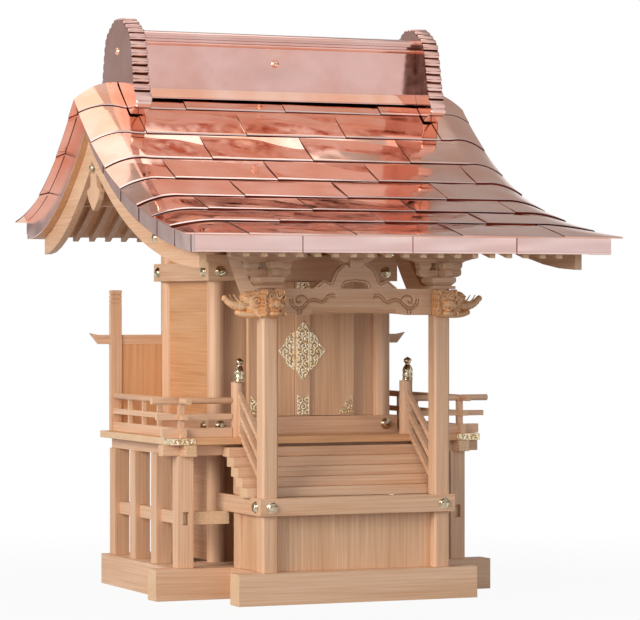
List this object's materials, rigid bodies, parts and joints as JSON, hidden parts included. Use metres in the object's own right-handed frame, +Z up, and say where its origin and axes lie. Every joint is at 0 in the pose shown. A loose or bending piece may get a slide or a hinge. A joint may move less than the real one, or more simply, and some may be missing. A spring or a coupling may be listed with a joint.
{
  "type": "miniature shinto shrine",
  "caption": "Miniature Shinto shrine of pale cypress with a sweeping sheet-copper roof, porch with log stair, railed veranda and hinged double doors.",
  "frame": {"origin": "on the ground, under the middle of the roof's outline", "axes": "+Z up, -Y to the front with the porch and the doors, +X to the right seen from the front"},
  "size_m": [0.47, 0.526, 0.6025],
  "materials": {
    "hinoki_frame": "planed bare cypress",
    "hinoki_board": "planed bare cypress",
    "copper_sheet": "bright copper sheet",
    "gilt_brass": "gilt polished brass"
  },
  "bodies": {
    "shrine": {"base_cross_sills": "hinoki_frame", "base_side_sills": "hinoki_frame", "porch_sill": "hinoki_frame", "veranda_posts": "hinoki_frame", "veranda_tie_rails": "hinoki_frame", "veranda_front_beam": "hinoki_frame", "veranda_side_beams": "hinoki_frame", "veranda_deck": "hinoki_board", "deck_corner_bands": "gilt_brass", "railing_sides": "hinoki_frame", "railing_fronts": "hinoki_frame", "newel_posts": "hinoki_frame", "newel_finials": "gilt_brass", "stair_treads_odd": "hinoki_frame", "stair_treads_even": "hinoki_frame", "stair_boards": "hinoki_frame", "stair_handrails": "hinoki_frame", "porch_pillars": "hinoki_frame", "porch_rear_posts": "hinoki_frame", "porch_panels": "hinoki_board", "porch_front_rail": "hinoki_frame", "porch_side_rails": "hinoki_frame", "porch_beam": "hinoki_frame", "lion_heads": "hinoki_frame", "elephant_heads": "hinoki_frame", "bracket_blocks": "hinoki_frame", "bracket_arms": "hinoki_frame", "bracket_bearings": "hinoki_frame", "frog_leg_strut": "hinoki_frame", "bracket_plates": "hinoki_frame", "tie_beams": "hinoki_frame", "body_pillars": "hinoki_frame", "body_side_walls": "hinoki_board", "body_rear_wall": "hinoki_board", "body_front_panels": "hinoki_board", "body_front_wings": "hinoki_board", "body_floor": "hinoki_board", "body_cross_bands": "hinoki_frame", "body_side_bands": "hinoki_frame", "body_head_beam": "hinoki_frame", "purlins": "hinoki_frame", "rafters_front": "hinoki_frame", "rafters_rear": "hinoki_frame", "roof_boards_front": "hinoki_board", "roof_boards_rear": "hinoki_board", "copper_front": "copper_sheet", "copper_rear": "copper_sheet", "copper_eave_strips": "copper_sheet", "copper_verge_strips": "copper_sheet", "bargeboards": "hinoki_frame", "gable_pendants": "hinoki_frame", "ridge_box": "copper_sheet", "ridge_cap": "copper_sheet", "ridge_ends": "copper_sheet", "screen_posts": "hinoki_frame", "screen_lintels": "hinoki_frame", "screen_panels": "hinoki_board", "nail_covers": "gilt_brass"},
    "left_door": {"door_left": "hinoki_board"},
    "right_door": {"door_right": "hinoki_board"}
  },
  "joints": [
    {"name": "door_left_hinge", "type": "hinge", "parent": "shrine", "child": "left_door", "pos_m": [-0.0595, 0.01205, 0.254], "axis": [0, 0, -1], "range_deg": [0, 100]},
    {"name": "door_right_hinge", "type": "hinge", "parent": "shrine", "child": "right_door", "pos_m": [0.0595, 0.01205, 0.254], "axis": [0, 0, 1], "range_deg": [0, 100]}
  ]
}
